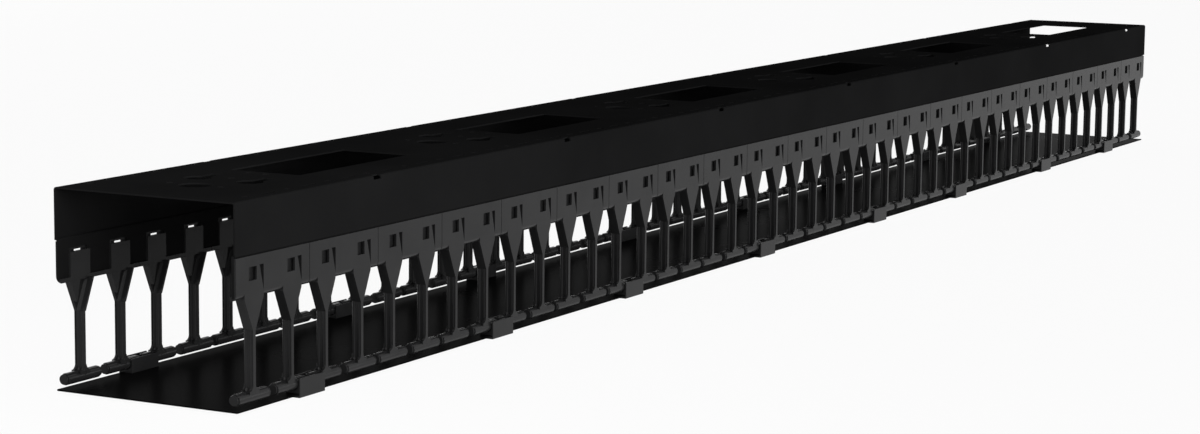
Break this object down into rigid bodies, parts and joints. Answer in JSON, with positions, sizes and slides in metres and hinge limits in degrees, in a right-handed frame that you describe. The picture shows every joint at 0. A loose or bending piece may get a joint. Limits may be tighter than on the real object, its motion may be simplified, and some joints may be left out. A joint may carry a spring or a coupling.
{
  "type": "vertical cable manager",
  "caption": "Long steel channel with rows of plastic cable fingers along both edges and a flat hinged cover clipped over the finger ends.",
  "frame": {"origin": "below the middle of the trough, at the level of the cover clips' undersides", "axes": "+X along the length, +Y across the width, +Z from the cover to the back web"},
  "size_m": [1.9572, 0.1568, 0.146],
  "materials": {
    "powder_coated_steel": "fine matte black powder coat",
    "cover_steel": "fine matte black powder coat",
    "finger_plastic": "satin moulded black",
    "clip_plastic": "satin moulded black"
  },
  "bodies": {
    "trough": {"back_channel": "powder_coated_steel", "finger_module_near_01": "finger_plastic", "finger_module_near_02": "finger_plastic", "finger_module_near_03": "finger_plastic", "finger_module_near_04": "finger_plastic", "finger_module_near_05": "finger_plastic", "finger_module_near_06": "finger_plastic", "finger_module_near_07": "finger_plastic", "finger_module_near_08": "finger_plastic", "finger_module_near_09": "finger_plastic", "finger_module_near_10": "finger_plastic", "finger_module_near_11": "finger_plastic", "finger_module_near_12": "finger_plastic", "finger_module_near_13": "finger_plastic", "finger_module_near_14": "finger_plastic", "finger_module_near_15": "finger_plastic", "finger_module_near_16": "finger_plastic", "finger_module_near_17": "finger_plastic", "finger_module_near_18": "finger_plastic", "finger_module_near_19": "finger_plastic", "finger_module_near_20": "finger_plastic", "finger_module_near_21": "finger_plastic", "finger_module_near_22": "finger_plastic", "finger_module_far_01": "finger_plastic", "finger_module_far_02": "finger_plastic", "finger_module_far_03": "finger_plastic", "finger_module_far_04": "finger_plastic", "finger_module_far_05": "finger_plastic", "finger_module_far_06": "finger_plastic", "finger_module_far_07": "finger_plastic", "finger_module_far_08": "finger_plastic", "finger_module_far_09": "finger_plastic", "finger_module_far_10": "finger_plastic", "finger_module_far_11": "finger_plastic", "finger_module_far_12": "finger_plastic", "finger_module_far_13": "finger_plastic", "finger_module_far_14": "finger_plastic", "finger_module_far_15": "finger_plastic", "finger_module_far_16": "finger_plastic", "finger_module_far_17": "finger_plastic", "finger_module_far_18": "finger_plastic", "finger_module_far_19": "finger_plastic", "finger_module_far_20": "finger_plastic", "finger_module_far_21": "finger_plastic", "finger_module_far_22": "finger_plastic"},
    "cover": {"cover_panel": "cover_steel", "cover_clips_near": "clip_plastic", "cover_clips_far": "clip_plastic"}
  },
  "joints": [
    {"name": "cover_hinge", "type": "hinge", "parent": "trough", "child": "cover", "pos_m": [0, -0.0723, 0.0101], "axis": [-1, 0, 0], "range_deg": [0, 110]}
  ]
}
